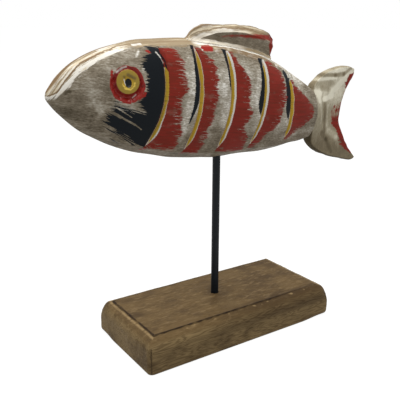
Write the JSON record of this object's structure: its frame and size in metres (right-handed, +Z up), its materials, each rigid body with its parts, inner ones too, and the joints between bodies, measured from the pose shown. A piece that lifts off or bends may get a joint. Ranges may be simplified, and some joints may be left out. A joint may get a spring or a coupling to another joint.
{
  "type": "fish figurine",
  "caption": "Carved and painted wooden fish with gouged bands, a ringed eye and set-in fins, turning on a slim steel rod in a stained wooden block.",
  "frame": {"origin": "middle of the block's underside, on the surface that the ornament stands on", "axes": "+X along the block from the fish's nose to its tail, +Y away from the side that is seen, +Z up"},
  "size_m": [0.2442, 0.071, 0.2038],
  "materials": {
    "stained_wood": "dark stain, worn along the edges, satin",
    "black_metal": "black paint, satin",
    "painted_wood": "brushed whitewash over bare wood, with ochre, red and black bands, matte"
  },
  "bodies": {
    "stand": {"base_block": "stained_wood", "support_rod": "black_metal"},
    "fish": {"fish_body": "painted_wood", "dorsal_fin": "painted_wood", "tail_fin": "painted_wood"}
  },
  "joints": [
    {"name": "fish_swivel", "type": "hinge", "parent": "stand", "child": "fish", "pos_m": [-0.0018, 0.0012, 0.1476], "axis": [0, 0, 1], "continuous": true}
  ]
}
